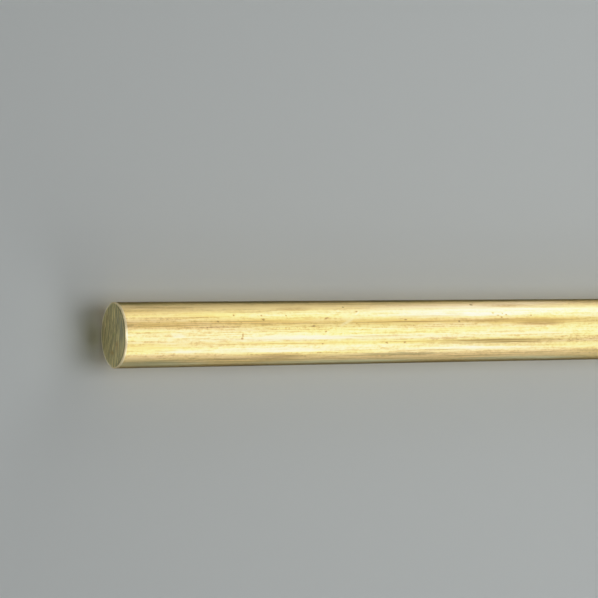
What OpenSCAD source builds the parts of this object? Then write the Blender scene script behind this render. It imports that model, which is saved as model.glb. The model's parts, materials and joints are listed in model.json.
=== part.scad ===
// Drawn brass round bar, sawn to length.
// The bar lies along X on the plane z = 0, and the origin is under the middle of it.

/* [Bar] */
// Diameter of the drawn bar
bar_d = 25; // [6:0.5:60]
// Length over the two sawn faces
bar_l = 300; // [100:5:1000]

/* [Ends] */
// Width, along the bar, of the filed edge round the end that faces -X
near_break_w = 0.4; // [0.1:0.1:1]
// Width, along the bar, of the filed edge round the end that faces +X
far_break_w = 0.4; // [0.1:0.1:1]
// Angle between each filed edge and the bar's axis
break_angle = 45; // [30:5:60]

/* [Hidden] */
$fn = 96;

bar_r = bar_d / 2;

// How far a filed edge of that width takes the rim of its end face in
function break_depth(width) = width * tan(break_angle);

// Half of the bar's lengthwise section: x is the radius, y runs along the bar
module half_section() {
    polygon([
        [0, -bar_l / 2],
        [bar_r - break_depth(near_break_w), -bar_l / 2],
        [bar_r, -bar_l / 2 + near_break_w],
        [bar_r, bar_l / 2 - far_break_w],
        [bar_r - break_depth(far_break_w), bar_l / 2],
        [0, bar_l / 2]
    ]);
}

// One solid: the drawn barrel with a sawn face and a filed edge at each end
module round_bar() {
    color([0.86, 0.74, 0.44])
        translate([0, 0, bar_r])
            rotate([0, 90, 0])
                rotate_extrude()
                    half_section();
}

round_bar();
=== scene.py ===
import json

import bpy
import numpy as np
from mathutils import Matrix, Quaternion, Vector


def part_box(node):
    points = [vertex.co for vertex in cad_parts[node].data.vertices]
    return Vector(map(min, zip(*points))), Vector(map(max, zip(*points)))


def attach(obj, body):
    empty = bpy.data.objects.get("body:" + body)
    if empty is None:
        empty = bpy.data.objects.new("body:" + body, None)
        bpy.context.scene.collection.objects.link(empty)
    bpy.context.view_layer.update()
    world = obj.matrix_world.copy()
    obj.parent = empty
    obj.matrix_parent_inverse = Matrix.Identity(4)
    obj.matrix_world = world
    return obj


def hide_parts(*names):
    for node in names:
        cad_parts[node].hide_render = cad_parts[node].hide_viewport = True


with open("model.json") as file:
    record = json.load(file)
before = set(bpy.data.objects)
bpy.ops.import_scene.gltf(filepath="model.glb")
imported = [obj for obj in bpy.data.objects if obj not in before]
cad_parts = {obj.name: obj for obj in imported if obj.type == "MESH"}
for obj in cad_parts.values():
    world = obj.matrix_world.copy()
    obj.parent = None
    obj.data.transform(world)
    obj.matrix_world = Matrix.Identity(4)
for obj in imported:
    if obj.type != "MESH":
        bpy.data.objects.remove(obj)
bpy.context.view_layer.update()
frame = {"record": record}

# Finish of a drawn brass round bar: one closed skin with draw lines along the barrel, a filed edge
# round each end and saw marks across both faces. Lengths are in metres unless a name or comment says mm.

MM = 0.001

# Driving sizes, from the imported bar
bar_low, bar_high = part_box("round_bar")
mounts = {mount["name"]: mount for mount in frame["record"]["mounts"]}
BAR_L = bar_high.x - bar_low.x
BAR_R = min(bar_high.y - bar_low.y, bar_high.z - bar_low.z) / 2
AXIS_Z = (bar_low.z + bar_high.z) / 2
EDGE_W = (BAR_L - mounts["barrel"]["dims"]["length_mm"] * MM) / 2

# Steps of the skin's grid. A filed edge is a rounding, the cone and a second rounding.
POINTS_ROUND = 300
BARREL_RINGS = 260
FACE_RINGS = 26
ROUNDING_RINGS = 4
CONE_RINGS = 2
EDGE_RINGS = 2 * ROUNDING_RINGS + CONE_RINGS

# The filed edges: angle of the cone, radius of its roundings and how far each of those reaches to both sides
EDGE_ANGLE = 45.0
EDGE_ROUNDING = 0.10 * MM
EDGE_REACH = EDGE_ROUNDING * np.tan(np.radians(EDGE_ANGLE / 2))

# Relief, always inwards from the true cylinder and the true end planes. A noise of the barrel has its depth,
# the length of a wave, the waves round the bar and a seed: the wall's wander, the die's ridges, its lines.
BARREL_NOISES = (
    (0.030 * MM, 60 * MM, 9, 11),
    (0.012 * MM, 75 * MM, 44, 12),
    (0.006 * MM, 34 * MM, 118, 13),
)
RELIEF_RUN_IN = 1.5 * MM
SAW_DEPTH = 0.035 * MM
SAW_PITCH = 2.3 * MM
SAW_LEAN = 11.0
NEAR_SEED, FAR_SEED = 21, 22

# Bends of the saw marks: how far they go sideways, and the length along the mark that sets their rhythm
SAW_BENDS = ((0.35 * MM, 4.1 * MM), (0.20 * MM, 1.7 * MM))

# Turn of every noise's grid. A grid that lay flat on the surface would show its knots as rows of dots.
GRID_TURN = (0.61, 0.87, 0.35)

# The lens: where it stands, the spot on the floor that it looks at, and its turn about its own axis
LENS_PLACE = Vector((-0.5030, 0.0, 0.8781))
LENS_AIM = Vector((-0.0659, 0.01335, 0.0))
LENS_ROLL = 0.741
LENS_MM = 149.94
SENSOR_MM = 36.0

# The room that the brass mirrors: brightness by height above the floor, as sine and brightness. It is dim
# straight beyond the near end, and a dark stripe crosses overhead past the middle, where the lights hang.
STRIPE_GLOW = ((0.00, 0.30), (0.10, 0.28), (0.42, 0.02), (1.00, 0.02))
ROOM_GLOW = ((0.00, 0.40), (0.12, 0.50), (0.24, 1.60), (0.42, 2.00), (0.56, 0.50), (0.80, 0.75), (1.00, 0.85))
DIM_GLOW = ((0.00, 0.28), (0.10, 0.28), (0.28, 0.44), (0.42, 0.30), (0.70, 0.22), (0.85, 0.40), (1.00, 0.50))
GLOW_TOP = 2.0

# How bright light is shown, like a film's shoulder: scene brightness and shown brightness, both linear
SHOULDER_TOP = 2.4
SHOULDER = (
    (0.0, 0.0), (0.6, 0.6), (0.8, 0.775), (1.0, 0.890),
    (1.2, 0.945), (1.5, 0.975), (1.9, 0.99), (2.4, 1.0),
)

# Lights: name, direction from the bar, length along the bar and width, and power in watts. "far" is the +Y
# side and "near" the -Y side. The last two, beyond the near end, show only in what mirrors them.
LIGHTS = (
    ("overhead", (0.45, -0.03, 0.89), 1.3, 1.26, 9.9),
    ("side_far", (0.48, 0.78, 0.32), 0.75, 0.8, 4.2),
    ("low_far", (0.62, 0.78, 0.09), 0.5, 0.3, 1.6),
    ("side_near", (0.46, -0.80, 0.37), 0.8, 0.7, 3.4),
    ("low_near", (0.42, -0.62, 0.66), 0.55, 0.8, 2.5),
    ("veil", (0.50, 0.56, 0.66), 0.8, 0.8, 1.4),
    ("end_fill", (-0.98, 0.04, 0.13), 1.3, 0.42, 1.8),
    ("rim_spot", (-0.895, 0.0, 0.446), 0.35, 0.30, 1.6),
)
MIRRORED_ONLY = ("end_fill", "rim_spot")
LIGHT_DISTANCE = 1.8
LIT_SPOT = Vector((-0.05, 0.0, 0.0))

# Colours, linear. BRASS_TONES run from the deepest streak to the palest one. GRAZING_TONE tints what the
# flanks mirror at a low angle, and GRAZING_TOP does so on the rest of the barrel. PAINTED_EDGE_SHADE is
# painted
# shade: a darker tone on the sides where they stand upright.
BRASS_TONES = (
    (0.00, (0.57, 0.410, 0.180)), (0.27, (0.80, 0.585, 0.255)), (0.50, (0.91, 0.670, 0.305)),
    (0.72, (0.955, 0.715, 0.340)), (1.00, (0.99, 0.765, 0.390)),
)
GRAZING_TONE = (0.03, 0.027, 0.022)
GRAZING_TOP = (0.80, 0.73, 0.580)
PAINTED_EDGE_SHADE = (0.52, 0.435, 0.220)
PINK_SHADE = (1.0, 0.965, 1.0)
LEMON_SHADE = (0.985, 1.0, 0.86)
# Warm gold, partly painted shade between the bright bands
WARM_AND_SHADE_TONE = (0.875, 0.622, 0.205)
# Painted shade: a duller, more olive tone over both flanks
PAINTED_SIDE_SHADE = (0.79, 0.630, 0.315)
# Painted reflection: olive on the -Y flank
PAINTED_REFLECTION_OLIVE = (0.80, 0.77, 0.510)
PIT_TONE = (0.28, 0.19, 0.075)
DARK_LINE = (0.30, 0.205, 0.065)
SCRATCH_TONE = (0.98, 0.80, 0.420)
STAIN = (0.42, 0.28, 0.110)
# Painted highlight: a paler, creamier brass
PAINTED_HIGHLIGHT_TONE = (0.93, 0.735, 0.480)
# Gold, partly painted highlight
GOLD_AND_HIGHLIGHT_TONE = (0.95, 0.74, 0.350)
# Painted highlight: the pale rim at the barrel's ends
PAINTED_RIM_HIGHLIGHT = (1.00, 0.88, 0.600)
# Dull, dark brass, mostly painted shade
DULL_AND_SHADE_TONE = (0.32, 0.30, 0.150)
SAWN_LIGHT = (0.86, 0.77, 0.400)
SAWN_DARK = (0.42, 0.385, 0.215)
# Painted lines on the sawn faces: shade inside the upper rim, highlight inside the lower rim
PAINTED_DARK_LINE_TONE = (0.16, 0.15, 0.085)
PAINTED_PALE_LINE_TONE = (1.00, 0.96, 0.800)
FILED_PALE = (1.00, 0.865, 0.550)
FILED_DEEP = (0.94, 0.76, 0.420)
FLOOR_TONE = (0.79, 0.84, 0.83)

# Marks on the barrel. A row holds run, the mm from the near face to its middle; turn, the degrees round
# the bar from its top, up to +Y; length and width in mm; and lean, the degrees from lengthwise.
DRAW_LINES = (
    (20, 15, 44, 0.55, 0), (35, 18, 68, 0.40, 0), (48, 22, 60, 0.40, 0), (14, 14, 24, 0.65, 0),
    (90, 17, 90, 0.45, 0), (168, 18.5, 84, 2.0, 0), (230, 15, 110, 0.5, 0), (124, 18, 60, 0.8, 0),
    (60, -18.7, 110, 0.35, 0), (118, -18.5, 40, 0.45, 0), (160, -17.4, 76, 1.1, 0), (166, -21.5, 50, 0.8, 0),
    (250, -18.2, 90, 0.6, 0), (12, 3, 20, 0.4, 0), (60, 6, 60, 0.35, 0), (104, -7, 50, 0.35, 0),
    (112, 61, 110, 0.8, 0), (18, 54, 36, 0.8, 0), (9, 57, 18, 0.5, 0), (30, 31, 34, 0.4, 0),
    (40, -51.5, 78, 0.8, 0), (44, -58, 84, 0.9, 0), (110, -47, 60, 0.5, 0), (150, -52, 60, 0.6, 0),
    (76, -54.5, 60, 0.5, 0), (66, -61.5, 90, 0.5, 0), (118, -57, 50, 0.5, 0), (160, -60, 44, 0.5, 0),
    (14, 26, 22, 0.45, 0), (52, 40, 40, 0.35, 0), (128, 29, 50, 0.4, 0), (130, -36, 44, 0.4, 0),
    (180, 13.5, 34, 2.6, 0),
)
PITS = (
    (38, 22, 1.3, 1.1, 0), (45, 34, 1.1, 1.2, 0), (47.5, -8.5, 1.8, 1.3, 10), (47.8, -3, 0.9, 2.4, 0),
    (56.5, 33, 1.4, 1.2, 0), (57, 25, 1.8, 1.1, 0), (67, 33, 1.1, 1.0, 0), (84, 26, 3.2, 1.1, 20),
    (78, 12, 2.0, 1.2, 15), (83, 1.6, 1.6, 1.0, 0), (82, -20, 1.5, 0.9, 0), (93, 51, 1.4, 1.2, 0),
    (98, 40, 1.4, 1.2, 0), (110, -20, 2.2, 1.1, -20), (118, -19.5, 1.8, 1.2, 0), (118.6, 22, 1.8, 1.0, 0),
    (142.6, 17.6, 1.6, 1.1, 0), (151, 56, 2.0, 1.6, 0), (159, 34, 1.6, 1.0, 0), (161, 29, 1.9, 1.0, 0),
    (162.6, 25, 1.4, 1.1, 0), (163.4, 33, 1.3, 0.9, 0), (165, 30, 1.2, 0.9, 0), (176.5, 28, 1.5, 1.0, 0),
    (208, -12, 1.6, 1.0, 0), (231, 31, 1.4, 1.0, 0), (262, 7, 1.6, 1.1, 0),
    (72, 96, 1.6, 1.1, 0), (149, 128, 1.8, 1.1, 0), (236, 104, 1.5, 1.0, 0), (115, -104, 1.7, 1.1, 0),
    (196, -131, 1.6, 1.0, 0), (33, 166, 1.8, 1.1, 0), (260, -86, 1.5, 1.0, 0),
)
SCRATCHES = (
    (92.5, 18, 10.5, 1.8, 26), (98, 36, 5.0, 1.2, 38), (90, 42, 2.2, 1.4, 0), (62, 42, 12, 0.5, 3),
    (10, 51.5, 22, 0.6, 0), (172, 65, 66, 1.5, 0), (112, 67, 34, 1.1, 0),
    (214, 52, 14, 0.5, -12), (243, -38, 11, 0.5, 16), (170, 118, 13, 0.5, 9), (88, -97, 12, 0.5, -14),
)
# Dull patches, all but the two on the underside painted shade: a dark gap between bands, darker flanks
DULL_AND_SHADE_PLACES = (
    (12, -58, 56, 5.0, 0), (4, 70, 50, 5.0, 0), (116, 74, 56, 4.6, 0), (164, 76, 70, 3.6, 0),
    (158, -20, 110, 3.8, 0), (118, -43, 60, 2.4, 0), (56, 75, 110, 3.4, 0),
    (70, 72, 120, 3.0, 0), (230, 78, 80, 4.0, 0), (120, 160, 60, 5.0, 0), (250, -150, 60, 5.0, 0),
)
# Painted highlights: creamier brass in the bright bands, and a hot spot 21 mm from the near face
PAINTED_HIGHLIGHT_PLACES = (
    (150, 51, 130, 8.4, 0), (178, 63, 64, 5.6, 0), (60, -31, 90, 3.0, 0), (25, -31, 34, 2.8, 0),
    (84, -9, 150, 3.0, 0), (142, 31, 110, 3.2, 0),
    (21, -2, 7, 3.0, 0), (146, -33, 90, 3.4, 0), (250, 50, 80, 9.0, 0), (240, -30, 70, 4.0, 0),
)
# Gold patches. The one on the upper near flank is a painted highlight that brightens it.
GOLD_AND_HIGHLIGHT_PLACES = (
    (60, 54, 110, 7.0, 0), (215, 120, 90, 7.0, 0), (90, -125, 80, 7.0, 0),
)
# Painted reflection: an olive band on the -Y flank, 65 degrees from the top, along the whole bar
PAINTED_REFLECTION_PLACES = (
    (16, -64, 60, 5.6, 0), (92, -66, 120, 5.0, 0), (176, -65, 90, 5.2, 0), (262, -66, 80, 5.0, 0),
)
# Warm patches. Those 18 to 22 degrees either side of the top are painted shade between bright bands.
WARM_AND_SHADE_PLACES = (
    (6, 44, 70, 9.0, 0), (30, 36, 60, 5.0, 0), (14, 18, 60, 4.0, 0), (10, -22, 50, 4.0, 0),
    (60, 22, 100, 5.0, 0), (118, 20, 110, 4.4, 0), (176, 19, 90, 5.0, 0), (160, -20, 64, 3.6, 0),
    (70, -18, 130, 2.6, 0), (124, -19, 60, 2.6, 0), (150, 4, 90, 2.6, 0),
    (236, 8, 60, 5.0, 0), (268, 40, 60, 7.0, 0), (80, 120, 70, 8.0, 0), (210, -120, 80, 9.0, 0),
    (140, 152, 90, 9.0, 0), (30, -120, 60, 8.0, 0),
)
STAINS = (
    (64, -46, 30, 6.0, 0), (70, 47, 26, 4.0, 0), (141, 33, 16, 2.0, 0), (168, 52, 40, 3.0, 0),
    (225, 44, 34, 5.0, 0), (262, -50, 40, 5.0, 0), (110, 112, 60, 6.0, 0), (200, -112, 70, 6.0, 0),
    (60, -140, 50, 6.0, 0), (190, 155, 60, 7.0, 0),
)
# Tints on a sawn face: colour, middle towards +Y and up in mm, half lengths those ways, lean, greatest share
FACE_TINTS = (
    ((0.40, 0.43, 0.370), (1.0, 8.0), 8.5, 3.6, 0, 0.75),
    ((0.36, 0.39, 0.350), (6.0, 4.6), 3.4, 1.4, 8, 0.6),
    ((0.56, 0.33, 0.130), (-4.3, 3.6), 3.0, 3.8, -15, 0.8),
    ((0.60, 0.36, 0.080), (-6.6, -1.6), 1.5, 3.2, 10, 0.8),
    ((0.46, 0.50, 0.200), (0.2, 0.8), 1.4, 3.0, 0, 0.6),
    ((0.50, 0.37, 0.200), (6.4, -5.4), 2.8, 2.4, 30, 0.6),
    ((0.60, 0.46, 0.330), (3.0, -9.4), 3.6, 1.8, -20, 0.6),
)


# Surfaces


def smooth_step(value):
    """3v^2 - 2v^3 of the value held between 0 and 1."""
    held = np.clip(value, 0.0, 1.0)
    return held * held * (3.0 - 2.0 * held)


def woven_noise(along, turn, long_wave, cells_round, seed):
    """Smooth noise from 0 to 1 on the barrel. Random heights stand on a grid with a cell every long_wave
    metres along the bar and cells_round cells round it, closed on itself, and the surface between four
    heights is their mix by smooth steps."""
    cells_along = int(np.ceil(BAR_L / long_wave)) + 2
    heights = np.random.default_rng(seed).random((cells_along + 1, cells_round))
    u = (along + BAR_L / 2) / long_wave + 0.5
    v = (turn / (2 * np.pi) % 1.0) * cells_round
    column = np.clip(np.floor(u).astype(int), 0, cells_along - 1)
    row = np.floor(v).astype(int) % cells_round
    next_row = (row + 1) % cells_round
    share_u = smooth_step(u - column)
    share_v = smooth_step(v - np.floor(v))
    near = heights[column, row] * (1 - share_v) + heights[column, next_row] * share_v
    far = heights[column + 1, row] * (1 - share_v) + heights[column + 1, next_row] * share_v
    return near * (1 - share_u) + far * share_u


def barrel_relief(along, turn):
    """Depth of the drawn barrel below its cylinder: the sum of noises stretched along the bar, each one
    from 0 to its own depth."""
    return sum(
        depth * woven_noise(along, turn, long_wave, cells_round, seed)
        for depth, long_wave, cells_round, seed in BARREL_NOISES
    )


def saw_relief(across, up, seed):
    """Depth of the saw marks below an end plane: a rounded wave square to the cut, leaning by SAW_LEAN
    degrees and bent a little, with a third as much again in a wave five times as fine."""
    lean = np.radians(SAW_LEAN)
    phases = np.random.default_rng(seed).random(4) * 2 * np.pi
    square = up * np.cos(lean) - across * np.sin(lean)
    level = across * np.cos(lean) + up * np.sin(lean)
    bend = sum(
        sideways * np.sin(level / rhythm + phase)
        for (sideways, rhythm), phase in zip(SAW_BENDS, phases)
    )
    coarse = 0.5 + 0.5 * np.sin(2 * np.pi * (square + bend) / SAW_PITCH + phases[2])
    fine = 0.5 + 0.5 * np.sin(2 * np.pi * (square + 0.6 * bend) / (SAW_PITCH / 5) + phases[3])
    return SAW_DEPTH * (0.75 * coarse + 0.25 * fine)


def half_profile():
    """One end of the bar's lengthwise section, from the middle of the face out to the barrel: distance
    in from the end plane and distance from the axis. A straight run over the face, a straight filed
    edge at 45 degrees, and a short arc where they meet each other and the barrel."""
    face_r = BAR_R - EDGE_W
    face = np.linspace(0.0, 1.0, FACE_RINGS + 1)[1:] * (face_r - EDGE_REACH)
    arc = np.radians(np.linspace(0.0, EDGE_ANGLE, ROUNDING_RINGS + 1)[1:])
    first_in = EDGE_ROUNDING * (1 - np.cos(arc))
    first_out = face_r - EDGE_REACH + EDGE_ROUNDING * np.sin(arc)
    second_in = EDGE_W + EDGE_REACH - EDGE_ROUNDING * np.sin(arc[::-1])
    second_out = BAR_R - EDGE_ROUNDING * (1 - np.cos(arc[::-1]))
    share = np.arange(1, CONE_RINGS + 1) / (CONE_RINGS + 1)
    cone_in = first_in[-1] + (second_in[0] - first_in[-1]) * share
    cone_out = first_out[-1] + (second_out[0] - first_out[-1]) * share
    inwards = np.concatenate([np.zeros(FACE_RINGS), first_in, cone_in, second_in])
    outwards = np.concatenate([face, first_out, cone_out, second_out])
    return inwards, outwards


def bar_rings():
    """Rings of the whole skin from the near face to the far one: place along the bar and distance from
    the axis. The near end's profile, even steps along the barrel, and the same profile mirrored."""
    inwards, outwards = half_profile()
    barrel_end = BAR_L / 2 - EDGE_W - EDGE_REACH
    barrel = np.linspace(-barrel_end, barrel_end, BARREL_RINGS)
    along = np.concatenate([-BAR_L / 2 + inwards, barrel, (BAR_L / 2 - inwards)[::-1]])
    radius = np.concatenate([outwards, np.full(BARREL_RINGS, BAR_R), outwards[::-1]])
    return along, radius


def bar_places(along, radius):
    """Every point of the skin as arrays of rings by turns. A ring's point at turn t is at radius r from
    the axis, at y = r sin t and z = axis + r cos t, after the relief has moved it inwards."""
    turn = (np.arange(POINTS_ROUND) / POINTS_ROUND * 2 - 1) * np.pi
    x = np.repeat(along[:, None], POINTS_ROUND, axis=1)
    r = np.repeat(radius[:, None], POINTS_ROUND, axis=1)
    t = np.repeat(turn[None, :], len(along), axis=0)
    from_end = BAR_L / 2 - np.abs(x)
    on_barrel = smooth_step((from_end - EDGE_W) / RELIEF_RUN_IN)
    r = r - barrel_relief(x, t) * on_barrel
    across, up = r * np.sin(t), r * np.cos(t)
    on_face = 1.0 - smooth_step(from_end / EDGE_W)
    near = saw_relief(across, up, NEAR_SEED)
    far = saw_relief(-across, up, FAR_SEED)
    x = x + on_face * np.where(x < 0, near, -far)
    return np.stack([x, across, AXIS_Z + up], axis=-1)


def bar_faces(rings):
    """Corner numbers of the grid's quads and of the triangles that close both ends, wound so that they
    face outwards. The two pole points come after the grid's points."""
    i = np.arange(rings - 1)[:, None]
    j = np.arange(POINTS_ROUND)[None, :]
    following = (j + 1) % POINTS_ROUND
    a, b = i * POINTS_ROUND + j, i * POINTS_ROUND + following
    quads = np.stack([a, b, b + POINTS_ROUND, a + POINTS_ROUND], axis=-1).reshape(-1, 4)
    ring = np.arange(POINTS_ROUND)
    after = (ring + 1) % POINTS_ROUND
    near_pole = rings * POINTS_ROUND
    last = (rings - 1) * POINTS_ROUND
    near_fan = np.stack([np.full(POINTS_ROUND, near_pole), after, ring], axis=-1)
    far_fan = np.stack([np.full(POINTS_ROUND, near_pole + 1), last + ring, last + after], axis=-1)
    return quads, near_fan, far_fan


def fill_mesh(name, points, quads, fans):
    """Puts a grid's points, quads and end triangles into a new mesh."""
    triangles = np.concatenate(fans)
    corners = np.concatenate([quads.ravel(), triangles.ravel()])
    sizes = np.concatenate([np.full(len(quads), 4), np.full(len(triangles), 3)])
    starts = np.concatenate([[0], np.cumsum(sizes)[:-1]])
    mesh = bpy.data.meshes.new(name)
    mesh.vertices.add(len(points))
    mesh.vertices.foreach_set("co", points.astype(np.float32).ravel())
    mesh.loops.add(len(corners))
    mesh.loops.foreach_set("vertex_index", corners.astype(np.int32))
    mesh.polygons.add(len(sizes))
    mesh.polygons.foreach_set("loop_start", starts.astype(np.int32))
    mesh.polygons.foreach_set("use_smooth", np.ones(len(sizes), bool))
    mesh.update(calc_edges=True)
    mesh.validate()
    return mesh


def lay_flat(mesh, along, radius, grid):
    """The skin's flat layout, in mm on a square: the barrel cut along its underside and into two rows,
    with the two end discs beside the shorter row. A point of the barrel lies at its section length and
    at its turn times the radius, and a point of a disc where it stands, seen square-on."""
    side = 168.0
    margin = 1.0
    row_gap = 83.0
    first_row = 165.0
    disc_middle = 153.0
    near_level, far_level = 97.0, 125.0
    section = np.concatenate([[0.0], np.cumsum(np.hypot(np.diff(along), np.diff(radius)))]) / MM
    start = section[FACE_RINGS - 1]
    run = section - start
    rings = len(along)
    split = int(np.searchsorted(run, first_row)) - 1
    i = np.repeat(np.arange(rings - 1), POINTS_ROUND)
    j = np.tile(np.arange(POINTS_ROUND), rings - 1)
    ring = np.stack([i, i, i + 1, i + 1], axis=-1)
    step = np.stack([j, j + 1, j + 1, j], axis=-1)
    lower = (i >= split)[:, None]
    u = margin + run[ring] - np.where(lower, run[split], 0.0)
    v = margin + step / POINTS_ROUND * 2 * np.pi * BAR_R / MM + np.where(lower, row_gap, 0.0)
    across = grid[..., 1] / MM
    up = (grid[..., 2] - AXIS_Z) / MM
    wrapped = step % POINTS_ROUND
    near = (i < FACE_RINGS - 1)[:, None]
    far = (i >= rings - FACE_RINGS)[:, None]
    disc_u = disc_middle + across[ring, wrapped]
    disc_v = np.where(near, near_level, far_level) + up[ring, wrapped]
    u = np.where(near | far, disc_u, u)
    v = np.where(near | far, disc_v, v)
    turn = np.arange(POINTS_ROUND)
    after = (turn + 1) % POINTS_ROUND
    pole = np.zeros(POINTS_ROUND)
    fan_u = []
    fan_v = []
    for level, row, first, second in ((near_level, 0, after, turn), (far_level, rings - 1, turn, after)):
        fan_u.append(disc_middle + np.stack([pole, across[row, first], across[row, second]], axis=-1))
        fan_v.append(level + np.stack([pole, up[row, first], up[row, second]], axis=-1))
    flat_u = np.concatenate([u.ravel()] + [part.ravel() for part in fan_u])
    flat_v = np.concatenate([v.ravel()] + [part.ravel() for part in fan_v])
    layer = mesh.uv_layers.new(name="OFBake")
    layer.data.foreach_set("uv", (np.stack([flat_u, flat_v], axis=-1) / side).astype(np.float32).ravel())


def make_bar_skin():
    """The whole bar as one closed skin: the lengthwise section carried round the axis."""
    along, radius = bar_rings()
    grid = bar_places(along, radius)
    rings = len(along)
    poles = np.array([grid[0].mean(axis=0), grid[-1].mean(axis=0)])
    quads, near_fan, far_fan = bar_faces(rings)
    points = np.concatenate([grid.reshape(-1, 3), poles])
    mesh = fill_mesh("bar_skin", points, quads, [near_fan, far_fan])
    # Material numbers: 0 the drawn barrel, 1 the filed edges, 2 the sawn faces
    face_bands = FACE_RINGS - 1
    band = np.zeros(rings - 1, int)
    band[:face_bands] = band[-face_bands:] = 2
    band[face_bands:face_bands + EDGE_RINGS] = 1
    band[-face_bands - EDGE_RINGS:-face_bands] = 1
    which = np.concatenate([np.repeat(band, POINTS_ROUND), np.full(2 * POINTS_ROUND, 2)])
    mesh.polygons.foreach_set("material_index", which.astype(np.int32))
    lay_flat(mesh, along, radius, grid)
    skin = bpy.data.objects.new("bar_skin", mesh)
    bpy.context.scene.collection.objects.link(skin)
    return skin


# Materials


class Wiring:
    """Short ways to add shader nodes to a node tree and join them."""

    def __init__(self, tree):
        self.nodes = tree.nodes
        self.links = tree.links

    def put(self, value, socket):
        """Joins an output to a socket, or sets the socket if the value is a number or a colour."""
        if isinstance(value, bpy.types.NodeSocket):
            self.links.new(value, socket)
        elif isinstance(value, tuple) and len(value) == 3 and len(socket.default_value) == 4:
            socket.default_value = (*value, 1.0)
        else:
            socket.default_value = value

    def maths(self, operation, *values):
        node = self.nodes.new("ShaderNodeMath")
        node.operation = operation
        for value, socket in zip(values, node.inputs):
            self.put(value, socket)
        return node.outputs[0]

    def vector(self, operation, *values):
        node = self.nodes.new("ShaderNodeVectorMath")
        node.operation = operation
        for value, socket in zip(values, node.inputs):
            self.put(value, socket)
        return node.outputs["Value" if operation == "LENGTH" else "Vector"]

    def parts(self, place):
        """The x, y and z of a place."""
        node = self.nodes.new("ShaderNodeSeparateXYZ")
        self.put(place, node.inputs[0])
        return node.outputs

    def joined(self, x, y, z):
        node = self.nodes.new("ShaderNodeCombineXYZ")
        for value, socket in zip((x, y, z), node.inputs):
            self.put(value, socket)
        return node.outputs[0]

    def spread(self, value, low, high, to_low=0.0, to_high=1.0):
        """Carries the range low to high onto to_low to to_high, smoothly and held at both ends."""
        node = self.nodes.new("ShaderNodeMapRange")
        node.interpolation_type = "SMOOTHSTEP"
        for number, item in enumerate((value, low, high, to_low, to_high)):
            self.put(item, node.inputs[number])
        return node.outputs[0]

    def blend(self, share, first, second, kind="MIX"):
        """first where share is 0 and second where it is 1."""
        node = self.nodes.new("ShaderNodeMix")
        node.data_type = "RGBA"
        node.blend_type = kind
        self.put(share, node.inputs[0])
        self.put(first, node.inputs[6])
        self.put(second, node.inputs[7])
        return node.outputs[2]

    def ramp(self, value, stops):
        """A colour for the value, from stops of a place from 0 to 1 and a colour."""
        node = self.nodes.new("ShaderNodeValToRGB")
        elements = node.color_ramp.elements
        while len(elements) < len(stops):
            elements.new(0.5)
        for element, (place, colour) in zip(elements, stops):
            element.position = place
            element.color = (*colour, 1.0)
        self.put(value, node.inputs[0])
        return node.outputs[0]


class Finish(Wiring):
    """A material with its Principled shader, and the patterns that its colour and gloss are made of."""

    def __init__(self, name):
        self.material = bpy.data.materials.new(name)
        self.material.use_nodes = True
        super().__init__(self.material.node_tree)
        self.shader = self.nodes["Principled BSDF"]
        self.place = self.nodes.new("ShaderNodeTexCoord").outputs["Object"]

    def noise(self, place, scale, detail=2.0, roughness=0.5):
        node = self.nodes.new("ShaderNodeTexNoise")
        self.put(place, node.inputs["Vector"])
        self.put(scale, node.inputs["Scale"])
        self.put(detail, node.inputs["Detail"])
        self.put(roughness, node.inputs["Roughness"])
        return node.outputs[0]

    def grain(self, size, shift, detail=2.0, roughness=0.5):
        """Noise whose grains have that size along x, y and z, moved by shift so that no two are alike."""
        node = self.nodes.new("ShaderNodeMapping")
        node.inputs["Location"].default_value = (shift, 1.7 * shift, 2.9 * shift)
        node.inputs["Rotation"].default_value = GRID_TURN
        node.inputs["Scale"].default_value = tuple(1 / length for length in size)
        self.put(self.place, node.inputs["Vector"])
        return self.noise(node.outputs[0], 1.0, detail, roughness)

    def weighed(self, start, *rows):
        """start and, for every noise, its distance from 0.5 times its weight."""
        total = start
        for noise, weight in rows:
            share = self.maths("MULTIPLY_ADD", noise, weight, -0.5 * weight)
            total = self.maths("ADD", total, share)
        return total

    def bump(self, height, distance, below=None):
        node = self.nodes.new("ShaderNodeBump")
        self.put(distance, node.inputs["Distance"])
        self.put(height, node.inputs["Height"])
        if below is not None:
            self.put(below, node.inputs["Normal"])
        return node.outputs[0]

    def in_oval(self, flat, middle, half_length, half_width, lean):
        """A flat place in an oval's own lengths, 1 at its rim. The oval leans by that many degrees."""
        node = self.nodes.new("ShaderNodeMapping")
        node.vector_type = "TEXTURE"
        self.put(flat, node.inputs["Vector"])
        node.inputs["Location"].default_value = (*middle, 0.0)
        node.inputs["Rotation"].default_value = (0.0, 0.0, np.radians(lean))
        node.inputs["Scale"].default_value = (half_length, half_width, 1.0)
        return node.outputs[0]


def flat_barrel(finish):
    """The barrel laid flat, in mm: x from the near face, y round the bar from its top, up to +Y."""
    x, y, z = finish.parts(finish.place)
    run = finish.maths("MULTIPLY_ADD", x, 1 / MM, BAR_L / 2 / MM)
    turn = finish.maths("ARCTAN2", y, finish.maths("SUBTRACT", z, AXIS_Z))
    return finish.joined(run, finish.maths("MULTIPLY", turn, BAR_R / MM), 0.0)


def shaken(finish, flat, grain_mm, by_mm):
    """A flat place moved by a noise, so that what is drawn on it gets uneven edges."""
    x, y, _ = finish.parts(flat)
    size = (grain_mm[0] * MM, grain_mm[1] * MM, grain_mm[1] * MM)
    shift_x = finish.maths("MULTIPLY_ADD", finish.grain(size, 2.3), by_mm[0] * 2, -by_mm[0])
    shift_y = finish.maths("MULTIPLY_ADD", finish.grain(size, 4.9), by_mm[1] * 2, -by_mm[1])
    return finish.joined(finish.maths("ADD", x, shift_x), finish.maths("ADD", y, shift_y), 0.0)


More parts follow.
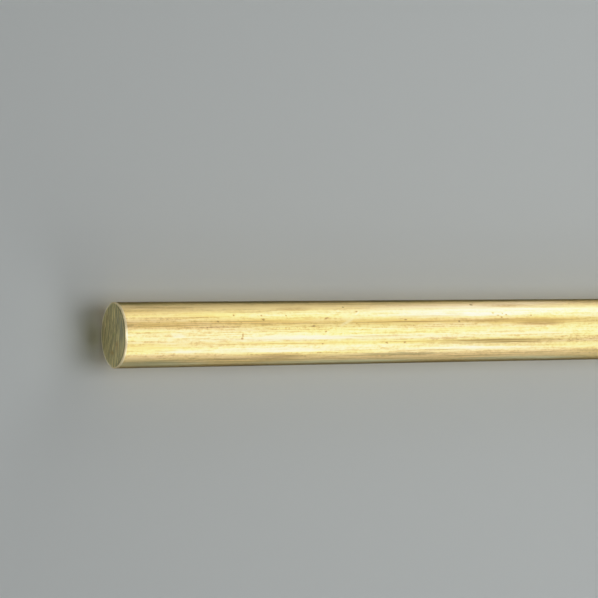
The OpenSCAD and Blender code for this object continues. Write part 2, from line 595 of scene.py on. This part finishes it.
def marks(finish, flat, rows, soft):
    """Ovals on the barrel, a row for each. The mask is 1 on an oval and fades out over that share of it.

    A place is carried into each oval's own lengths, and the least distance found decides the mask.
    """
    degree = np.radians(1.0) * BAR_R / MM
    # Any start past 1 will do, because the mask is 0 from there on
    nearest = 9.0
    for run, turn, length, width, lean in rows:
        if lean:
            inside = finish.in_oval(flat, (run, turn * degree), length / 2, width / 2, lean)
        else:
            scale = (2 / length, 2 / width, 0.0)
            shift = (-run * scale[0], -turn * degree * scale[1], 0.0)
            inside = finish.vector("MULTIPLY_ADD", flat, scale, shift)
        nearest = finish.maths("MINIMUM", finish.vector("LENGTH", inside), nearest)
    return finish.spread(nearest, 1.0 - soft, 1.0, 1.0, 0.0)


def side_share(finish, flat, start, full, still, gone, last):
    """A share that rises from 0 to 1 between two turns from the top, either way round, and falls again
    to a last value between two further ones, in degrees."""
    _, round_mm, _ = finish.parts(flat)
    off = finish.maths("ABSOLUTE", round_mm)
    degree = np.radians(1.0) * BAR_R / MM
    rising = finish.spread(off, start * degree, full * degree)
    falling = finish.spread(off, still * degree, gone * degree, 1.0, last)
    return finish.maths("MULTIPLY", rising, falling)


def drawn_grains(finish):
    """Noises of the drawn barrel, by name: shades, streaks, lines and dashes along the bar, and a mottle."""
    return {
        "streak": finish.grain((60 * MM, 1.3 * MM, 1.3 * MM), 5.7),
        "line": finish.grain((30 * MM, 0.55 * MM, 0.55 * MM), 9.3, 3.0, 0.6),
        "dash": finish.grain((6.0 * MM, 0.45 * MM, 0.45 * MM), 3.1, 3.0, 0.6),
        "mottle": finish.grain((1.7 * MM, 1.1 * MM, 1.1 * MM), 6.2, 4.0, 0.7),
        "shade": finish.grain((48 * MM, 2.4 * MM, 2.4 * MM), 8.1),
    }


def drawn_masks(finish, flat):
    """Masks of the drawn barrel, by name: the marks in the lists above, and shares that go by the turn."""
    loose = shaken(finish, flat, (6.0, 1.2), (3.0, 1.0))
    masks = {
        "drawn": marks(finish, shaken(finish, flat, (30.0, 3.0), (2.0, 0.22)), DRAW_LINES, 0.7),
        "pits": marks(finish, shaken(finish, flat, (1.0, 0.6), (0.35, 0.3)), PITS, 0.65),
        "scratches": marks(finish, shaken(finish, flat, (4.0, 1.0), (0.2, 0.12)), SCRATCHES, 0.8),
        # Painted reflection on the -Y flank
        "olive_reflection": marks(finish, loose, PAINTED_REFLECTION_PLACES, 0.8),
        "stains": marks(finish, loose, STAINS, 0.9),
        # The flanks' share of painted shade, by turn from the top
        "sides": side_share(finish, loose, 30, 58, 100, 140, 0.35),
        "flanks": side_share(finish, loose, 40, 50, 60, 72, 0.0),
        # The upright sides: smoother there, and darkened by painted shade
        "edges": side_share(finish, loose, 72, 86, 94, 118, 0.0),
        "grazed": side_share(finish, flat, 48, 71, 112, 135, 0.0),
    }
    # Soft places, which carry painted shade and highlights besides warm, gold and dull patches
    soft_places = {"warm_and_shade": WARM_AND_SHADE_PLACES, "pale": PAINTED_HIGHLIGHT_PLACES, "gold_and_highlight": GOLD_AND_HIGHLIGHT_PLACES, "dull_and_shade": DULL_AND_SHADE_PLACES}
    for name, rows in soft_places.items():
        masks[name] = marks(finish, loose, rows, 0.95)
    return masks


def drawn_colour(finish, flat, grains, masks):
    """Tones by the sum of the noises, then a layer for each kind of mark, some of them painted shade and
    highlights, and a painted highlight rim at both ends.
    """
    streak, line, mottle = grains["streak"], grains["line"], grains["mottle"]
    tone = finish.weighed(0.50, (streak, 0.8), (line, 2.9), (grains["dash"], 2.4), (mottle, 2.6))
    colour = finish.ramp(tone, BRASS_TONES)
    shades = finish.blend(finish.spread(grains["shade"], 0.38, 0.62), PINK_SHADE, LEMON_SHADE)
    colour = finish.blend(1.0, colour, shades, "MULTIPLY")
    # Mask, the noise that breaks it up, the value where that has risen, least and greatest share, tone
    for name, noise, risen, least, most, tone in (
        # Warm patches, partly painted shade between bright bands
        ("warm_and_shade", streak, 0.60, 0.45, 0.88, WARM_AND_SHADE_TONE),
        # Painted shade over both flanks
        ("sides", line, 0.65, 0.35, 0.85, PAINTED_SIDE_SHADE),
        # Painted highlights in the bright bands
        ("pale", streak, 0.60, 0.50, 0.95, PAINTED_HIGHLIGHT_TONE),
        # Gold patches, one of them a painted highlight
        ("gold_and_highlight", streak, 0.60, 0.50, 0.95, GOLD_AND_HIGHLIGHT_TONE),
        # Painted shade on the upright sides
        ("edges", line, 0.65, 0.55, 0.85, PAINTED_EDGE_SHADE),
        # Painted reflection on the -Y flank
        ("olive_reflection", line, 0.60, 0.50, 0.95, PAINTED_REFLECTION_OLIVE),
        # Dull patches, mostly painted shade
        ("dull_and_shade", line, 0.65, 0.30, 0.80, DULL_AND_SHADE_TONE),
        ("stains", mottle, 0.60, 0.15, 0.60, STAIN),
        ("drawn", line, 0.60, 0.30, 0.75, DARK_LINE),
    ):
        share = finish.maths("MULTIPLY", masks[name], finish.spread(noise, 0.3, risen, least, most))
        colour = finish.blend(share, colour, tone)
    for name, most, tone in (("scratches", 0.70, SCRATCH_TONE), ("pits", 0.72, PIT_TONE)):
        colour = finish.blend(finish.maths("MULTIPLY", masks[name], most), colour, tone)
    # A painted highlight on the barrel's last mm at both ends
    run, _, _ = finish.parts(flat)
    from_end = finish.maths("MINIMUM", run, finish.maths("SUBTRACT", BAR_L / MM, run))
    return finish.blend(finish.spread(from_end, 0.5, 1.0, 0.8, 0.0), colour, PAINTED_RIM_HIGHLIGHT)


def drawn_gloss(finish, grains, masks):
    """Roughness of the drawn barrel: satin, uneven like its colour, duller on the flanks and in what is
    sunk, and smoother where the sides stand upright."""
    rough = finish.weighed(0.31, (grains["line"], 0.14), (grains["streak"], -0.12), (grains["mottle"], 0.10))
    sunk = finish.maths("MAXIMUM", masks["pits"], masks["drawn"])
    for mask, more in ((masks["flanks"], 0.09), (masks["edges"], -0.08), (sunk, 0.12)):
        rough = finish.maths("MULTIPLY_ADD", mask, more, rough)
    return rough


def drawn_height(finish, grains, masks):
    """Bumps of the drawn barrel: its noises, one over the other, then raised scratches and sunk pits and
    lines."""
    normal = None
    for name, height_mm in (("streak", 0.050), ("line", 0.028), ("dash", 0.012), ("mottle", 0.014)):
        normal = finish.bump(grains[name], height_mm * MM, normal)
    sunk = finish.maths("MAXIMUM", masks["pits"], masks["drawn"])
    return finish.bump(finish.maths("SUBTRACT", masks["scratches"], sunk), 0.022 * MM, normal)


def drawn_brass():
    """Satin brass of the drawn barrel, streaked lengthwise in colour, gloss and height, with the lines,
    pits, scratches and stains that such a bar picks up. The draw lines run along it, so its gloss is
    drawn out round the bar, and its flanks darken at a grazing look."""
    finish = Finish("drawn_brass")
    flat = flat_barrel(finish)
    grains = drawn_grains(finish)
    masks = drawn_masks(finish, flat)
    sockets = finish.shader.inputs
    finish.put(drawn_colour(finish, flat, grains, masks), sockets["Base Color"])
    sockets["Metallic"].default_value = 1.0
    finish.put(finish.blend(masks["grazed"], GRAZING_TOP, GRAZING_TONE), sockets["Specular Tint"])
    finish.put(drawn_gloss(finish, grains, masks), sockets["Roughness"])
    sockets["Anisotropic"].default_value = 0.6
    from_axis = finish.vector("SUBTRACT", finish.place, (0.0, 0.0, AXIS_Z))
    finish.put(finish.vector("CROSS_PRODUCT", (1.0, 0.0, 0.0), from_axis), sockets["Tangent"])
    finish.put(drawn_height(finish, grains, masks), sockets["Normal"])
    return finish.material


def filed_brass():
    """Bright, pale brass of the filed edges, with short file marks."""
    finish = Finish("filed_brass")
    sockets = finish.shader.inputs
    file_marks = finish.grain((0.5 * MM, 0.35 * MM, 0.35 * MM), 1.4, 3.0, 0.6)
    depth = finish.spread(file_marks, 0.35, 0.65)
    finish.put(finish.blend(depth, FILED_PALE, FILED_DEEP), sockets["Base Color"])
    sockets["Metallic"].default_value = 1.0
    finish.put(finish.spread(file_marks, 0.3, 0.7, 0.26, 0.4), sockets["Roughness"])
    finish.put(finish.bump(file_marks, 0.02 * MM), sockets["Normal"])
    return finish.material


def saw_streaks(finish):
    """Coarse and fine noise drawn out along the saw's path, on a place that is turned by the lean and bent
    by a slow noise."""
    turned = finish.nodes.new("ShaderNodeMapping")
    turned.inputs["Rotation"].default_value = (np.radians(-SAW_LEAN), 0.0, 0.0)
    finish.put(finish.place, turned.inputs["Vector"])
    wave = finish.grain((3 * MM, 3 * MM, 3 * MM), 8.8, 2.0)
    bend = finish.maths("MULTIPLY_ADD", wave, 1.7 * MM, -0.85 * MM)
    bent = finish.vector("ADD", turned.outputs[0], finish.joined(0.0, 0.0, bend))
    # Grains per metre along x, y and z
    coarse_place = finish.vector("MULTIPLY_ADD", bent, (1000.0, 130.0, 1050.0), (0.4, 0.0, 0.0))
    fine_place = finish.vector("MULTIPLY_ADD", bent, (1000.0, 110.0, 2600.0), (0.6, 0.0, 0.0))
    return finish.noise(coarse_place, 1.0, 3.0, 0.6), finish.noise(fine_place, 1.0, 3.0, 0.6)


def sawn_colour(finish, coarse, fine):
    """Streaks from dark to light, tinted in patches, with a painted line of shade inside the upper rim and a
    painted highlight line inside the lower rim."""
    _, y, z = finish.parts(finish.place)
    across = finish.maths("DIVIDE", y, MM)
    up = finish.maths("DIVIDE", finish.maths("SUBTRACT", z, AXIS_Z), MM)
    flat = finish.joined(across, up, 0.0)
    cloud = finish.grain((9 * MM, 3 * MM, 2.2 * MM), 7.7, 2.0)
    tone = finish.weighed(0.45, (coarse, 2.9), (fine, 2.9))
    colour = finish.ramp(tone, ((0.1, SAWN_DARK), (0.9, SAWN_LIGHT)))
    for tint, middle, half_length, half_width, lean, most in FACE_TINTS:
        inside = finish.in_oval(flat, middle, half_length, half_width, lean)
        patch = finish.spread(finish.vector("LENGTH", inside), 0.1, 1.0, 1.0, 0.0)
        share = finish.maths("MULTIPLY", patch, finish.spread(cloud, 0.35, 0.6, 0.2 * most, 0.6 * most))
        colour = finish.blend(share, colour, tint)
    # The lines' places are in mm from the axis and above it
    from_axis = finish.vector("LENGTH", flat)
    inner = finish.spread(from_axis, 10.9, 11.5)
    outer = finish.spread(from_axis, 11.7, 12.05, 1.0, 0.0)
    upper_half = finish.spread(up, 2.0, 6.0, 0.0, 0.45)
    # A painted line of shade inside the upper rim
    painted_dark_line = finish.maths("MULTIPLY", finish.maths("MULTIPLY", inner, outer), upper_half)
    colour = finish.blend(painted_dark_line, colour, PAINTED_DARK_LINE_TONE)
    lower_half = finish.spread(up, 0.0, -5.0, 0.0, 0.9)
    # A painted highlight line inside the lower rim
    painted_pale_line = finish.maths("MULTIPLY", finish.spread(from_axis, 11.2, 11.8), lower_half)
    return finish.blend(painted_pale_line, colour, PAINTED_PALE_LINE_TONE)


def sawn_brass():
    """Dull brass of the sawn faces, greyer than the barrel and streaked along the saw's path."""
    finish = Finish("sawn_brass")
    sockets = finish.shader.inputs
    coarse, fine = saw_streaks(finish)
    finish.put(sawn_colour(finish, coarse, fine), sockets["Base Color"])
    sockets["Metallic"].default_value = 1.0
    finish.put(finish.weighed(0.56, (coarse, 0.3), (fine, 0.2)), sockets["Roughness"])
    normal = finish.bump(coarse, 0.05 * MM)
    finish.put(finish.bump(fine, 0.022 * MM, normal), sockets["Normal"])
    return finish.material


def pale_floor():
    """Pale, even floor."""
    finish = Finish("pale_floor")
    sockets = finish.shader.inputs
    sockets["Base Color"].default_value = (*FLOOR_TONE, 1.0)
    sockets["Roughness"].default_value = 0.40
    sockets["Specular IOR Level"].default_value = 0.6
    return finish.material


# Stage


def make_floor():
    """A flat floor at the height that the bar lies on."""
    half = 1.3
    points = [(-half, -half, 0.0), (half, -half, 0.0), (half, half, 0.0), (-half, half, 0.0)]
    mesh = bpy.data.meshes.new("floor")
    mesh.from_pydata(points, [], [(0, 1, 2, 3)])
    mesh.materials.append(pale_floor())
    floor = bpy.data.objects.new("floor", mesh)
    bpy.context.scene.collection.objects.link(floor)
    return floor


def aim(thing, place, target, along):
    """Stands a light at place with its face towards target and its own X as near to along as it goes."""
    away = (place - target).normalized()
    side = (along - away * along.dot(away)).normalized()
    up = away.cross(side)
    turn = Matrix((side, up, away)).transposed().to_4x4()
    thing.matrix_world = Matrix.Translation(place) @ turn


def softbox(name, towards, length, width, power):
    """A soft rectangular light, seen from the bar in the direction towards. Its length runs along the
    bar as far as it can."""
    light = bpy.data.lights.new(name, "AREA")
    light.shape = "RECTANGLE"
    light.size = length
    light.size_y = width
    light.energy = power
    thing = bpy.data.objects.new(name, light)
    bpy.context.scene.collection.objects.link(thing)
    place = LIT_SPOT + Vector(towards).normalized() * LIGHT_DISTANCE
    aim(thing, place, LIT_SPOT, Vector((1.0, 0.0, 0.0)))
    return thing


def make_lights():
    """A broad light overhead, two to each side, a veil between the overhead one and the far side's, and
    two beyond the near end for its sawn face and filed edge."""
    for row in LIGHTS:
        light = softbox(*row)
        light.visible_diffuse = light.name not in MIRRORED_ONLY


def make_room():
    """The room round the bar. It shows in what mirrors it and adds no diffuse light, so shadows stay."""
    world = bpy.data.worlds.new("room")
    world.use_nodes = True
    world.cycles_visibility.diffuse = False
    room = Wiring(world.node_tree)
    direction = room.nodes.new("ShaderNodeTexCoord").outputs["Generated"]
    x, y, z = room.parts(direction)
    stripe, walls, dim = (
        room.ramp(z, [(place, (glow / GLOW_TOP,) * 3) for place, glow in rows])
        for rows in (STRIPE_GLOW, ROOM_GLOW, DIM_GLOW)
    )
    in_stripe = room.maths("MULTIPLY", room.spread(x, 0.04, 0.28), room.spread(x, 0.62, 0.85, 1.0, 0.0))
    beyond_end = room.spread(x, -0.10, -0.45)
    straight_on = room.spread(room.maths("ABSOLUTE", y), 0.30, 0.65, 1.0, 0.5)
    glow = room.blend(room.maths("MULTIPLY", beyond_end, straight_on), walls, dim)
    background = room.nodes["Background"]
    room.put(room.blend(in_stripe, glow, stripe), background.inputs["Color"])
    background.inputs["Strength"].default_value = GLOW_TOP
    bpy.context.scene.world = world


def make_camera():
    """The lens of the photograph: high over the near end, looking down along the bar."""
    camera = bpy.data.cameras.new("lens")
    camera.lens = LENS_MM
    camera.sensor_width = SENSOR_MM
    camera.clip_start = 0.05
    thing = bpy.data.objects.new("lens", camera)
    bpy.context.scene.collection.objects.link(thing)
    forward = (LENS_AIM - LENS_PLACE).normalized()
    level = forward.cross(Vector((0.0, 1.0, 0.0))).normalized()
    right = Quaternion(forward, np.radians(LENS_ROLL)) @ level
    up = right.cross(forward)
    turn = Matrix((right, up, -forward)).transposed().to_4x4()
    thing.matrix_world = Matrix.Translation(LENS_PLACE) @ turn
    bpy.context.scene.camera = thing


def set_view():
    """Plain colours, shown by the curve SHOULDER, so that bright brass keeps its colour."""
    view = bpy.context.scene.view_settings
    view.view_transform = "Standard"
    view.use_curve_mapping = True
    mapping = view.curve_mapping
    mapping.black_level = (0.0, 0.0, 0.0)
    mapping.white_level = (SHOULDER_TOP, SHOULDER_TOP, SHOULDER_TOP)
    curve = mapping.curves[3]
    for light, shown in SHOULDER[1:-1]:
        curve.points.new(light / SHOULDER_TOP, shown)
    for point in curve.points:
        point.handle_type = "VECTOR"
    mapping.update()


make_camera()
bar_skin = make_bar_skin()
for finish in (drawn_brass(), filed_brass(), sawn_brass()):
    bar_skin.data.materials.append(finish)
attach(bar_skin, "root")
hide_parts("round_bar")
make_floor()
make_lights()
make_room()
set_view()
